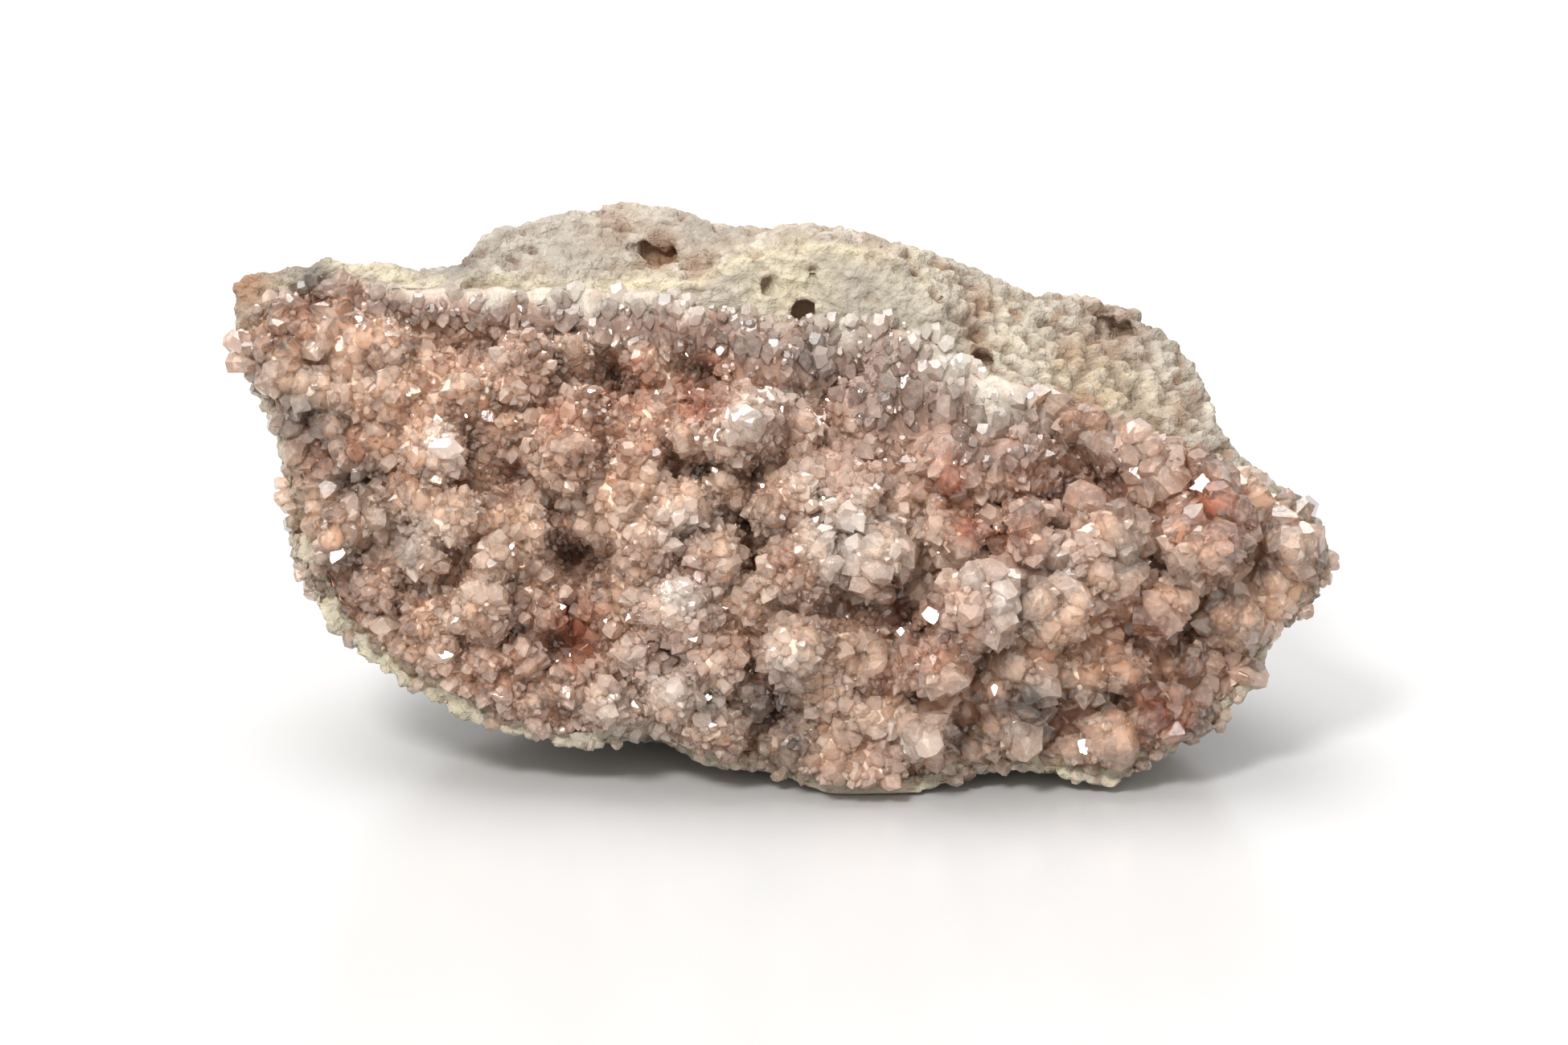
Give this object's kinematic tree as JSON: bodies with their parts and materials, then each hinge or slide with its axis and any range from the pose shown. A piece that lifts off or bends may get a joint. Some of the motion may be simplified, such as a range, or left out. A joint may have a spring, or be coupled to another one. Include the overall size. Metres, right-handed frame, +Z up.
{
  "type": "pink amethyst druzy",
  "caption": "Broken piece of geode wall: a cream knobbly rind of chalcedony and rock carrying a crust of pale pink, half-clear quartz crystals.",
  "frame": {"origin": "under the middle of the whole piece's box, on the surface that it rests on", "axes": "+Z up, +X along the length to the right of the crystal face, -Y the way the crystal face looks"},
  "size_m": [0.089, 0.0458, 0.0413],
  "materials": {
    "rind": "dull, knobbly, cream to straw yellow with grey patches",
    "pink_quartz": "glassy crystal faces, half-clear pale pink with milky and rust-red patches"
  },
  "bodies": {
    "root": {"rind": "rind", "crystal_crust": "pink_quartz"}
  },
  "joints": []
}
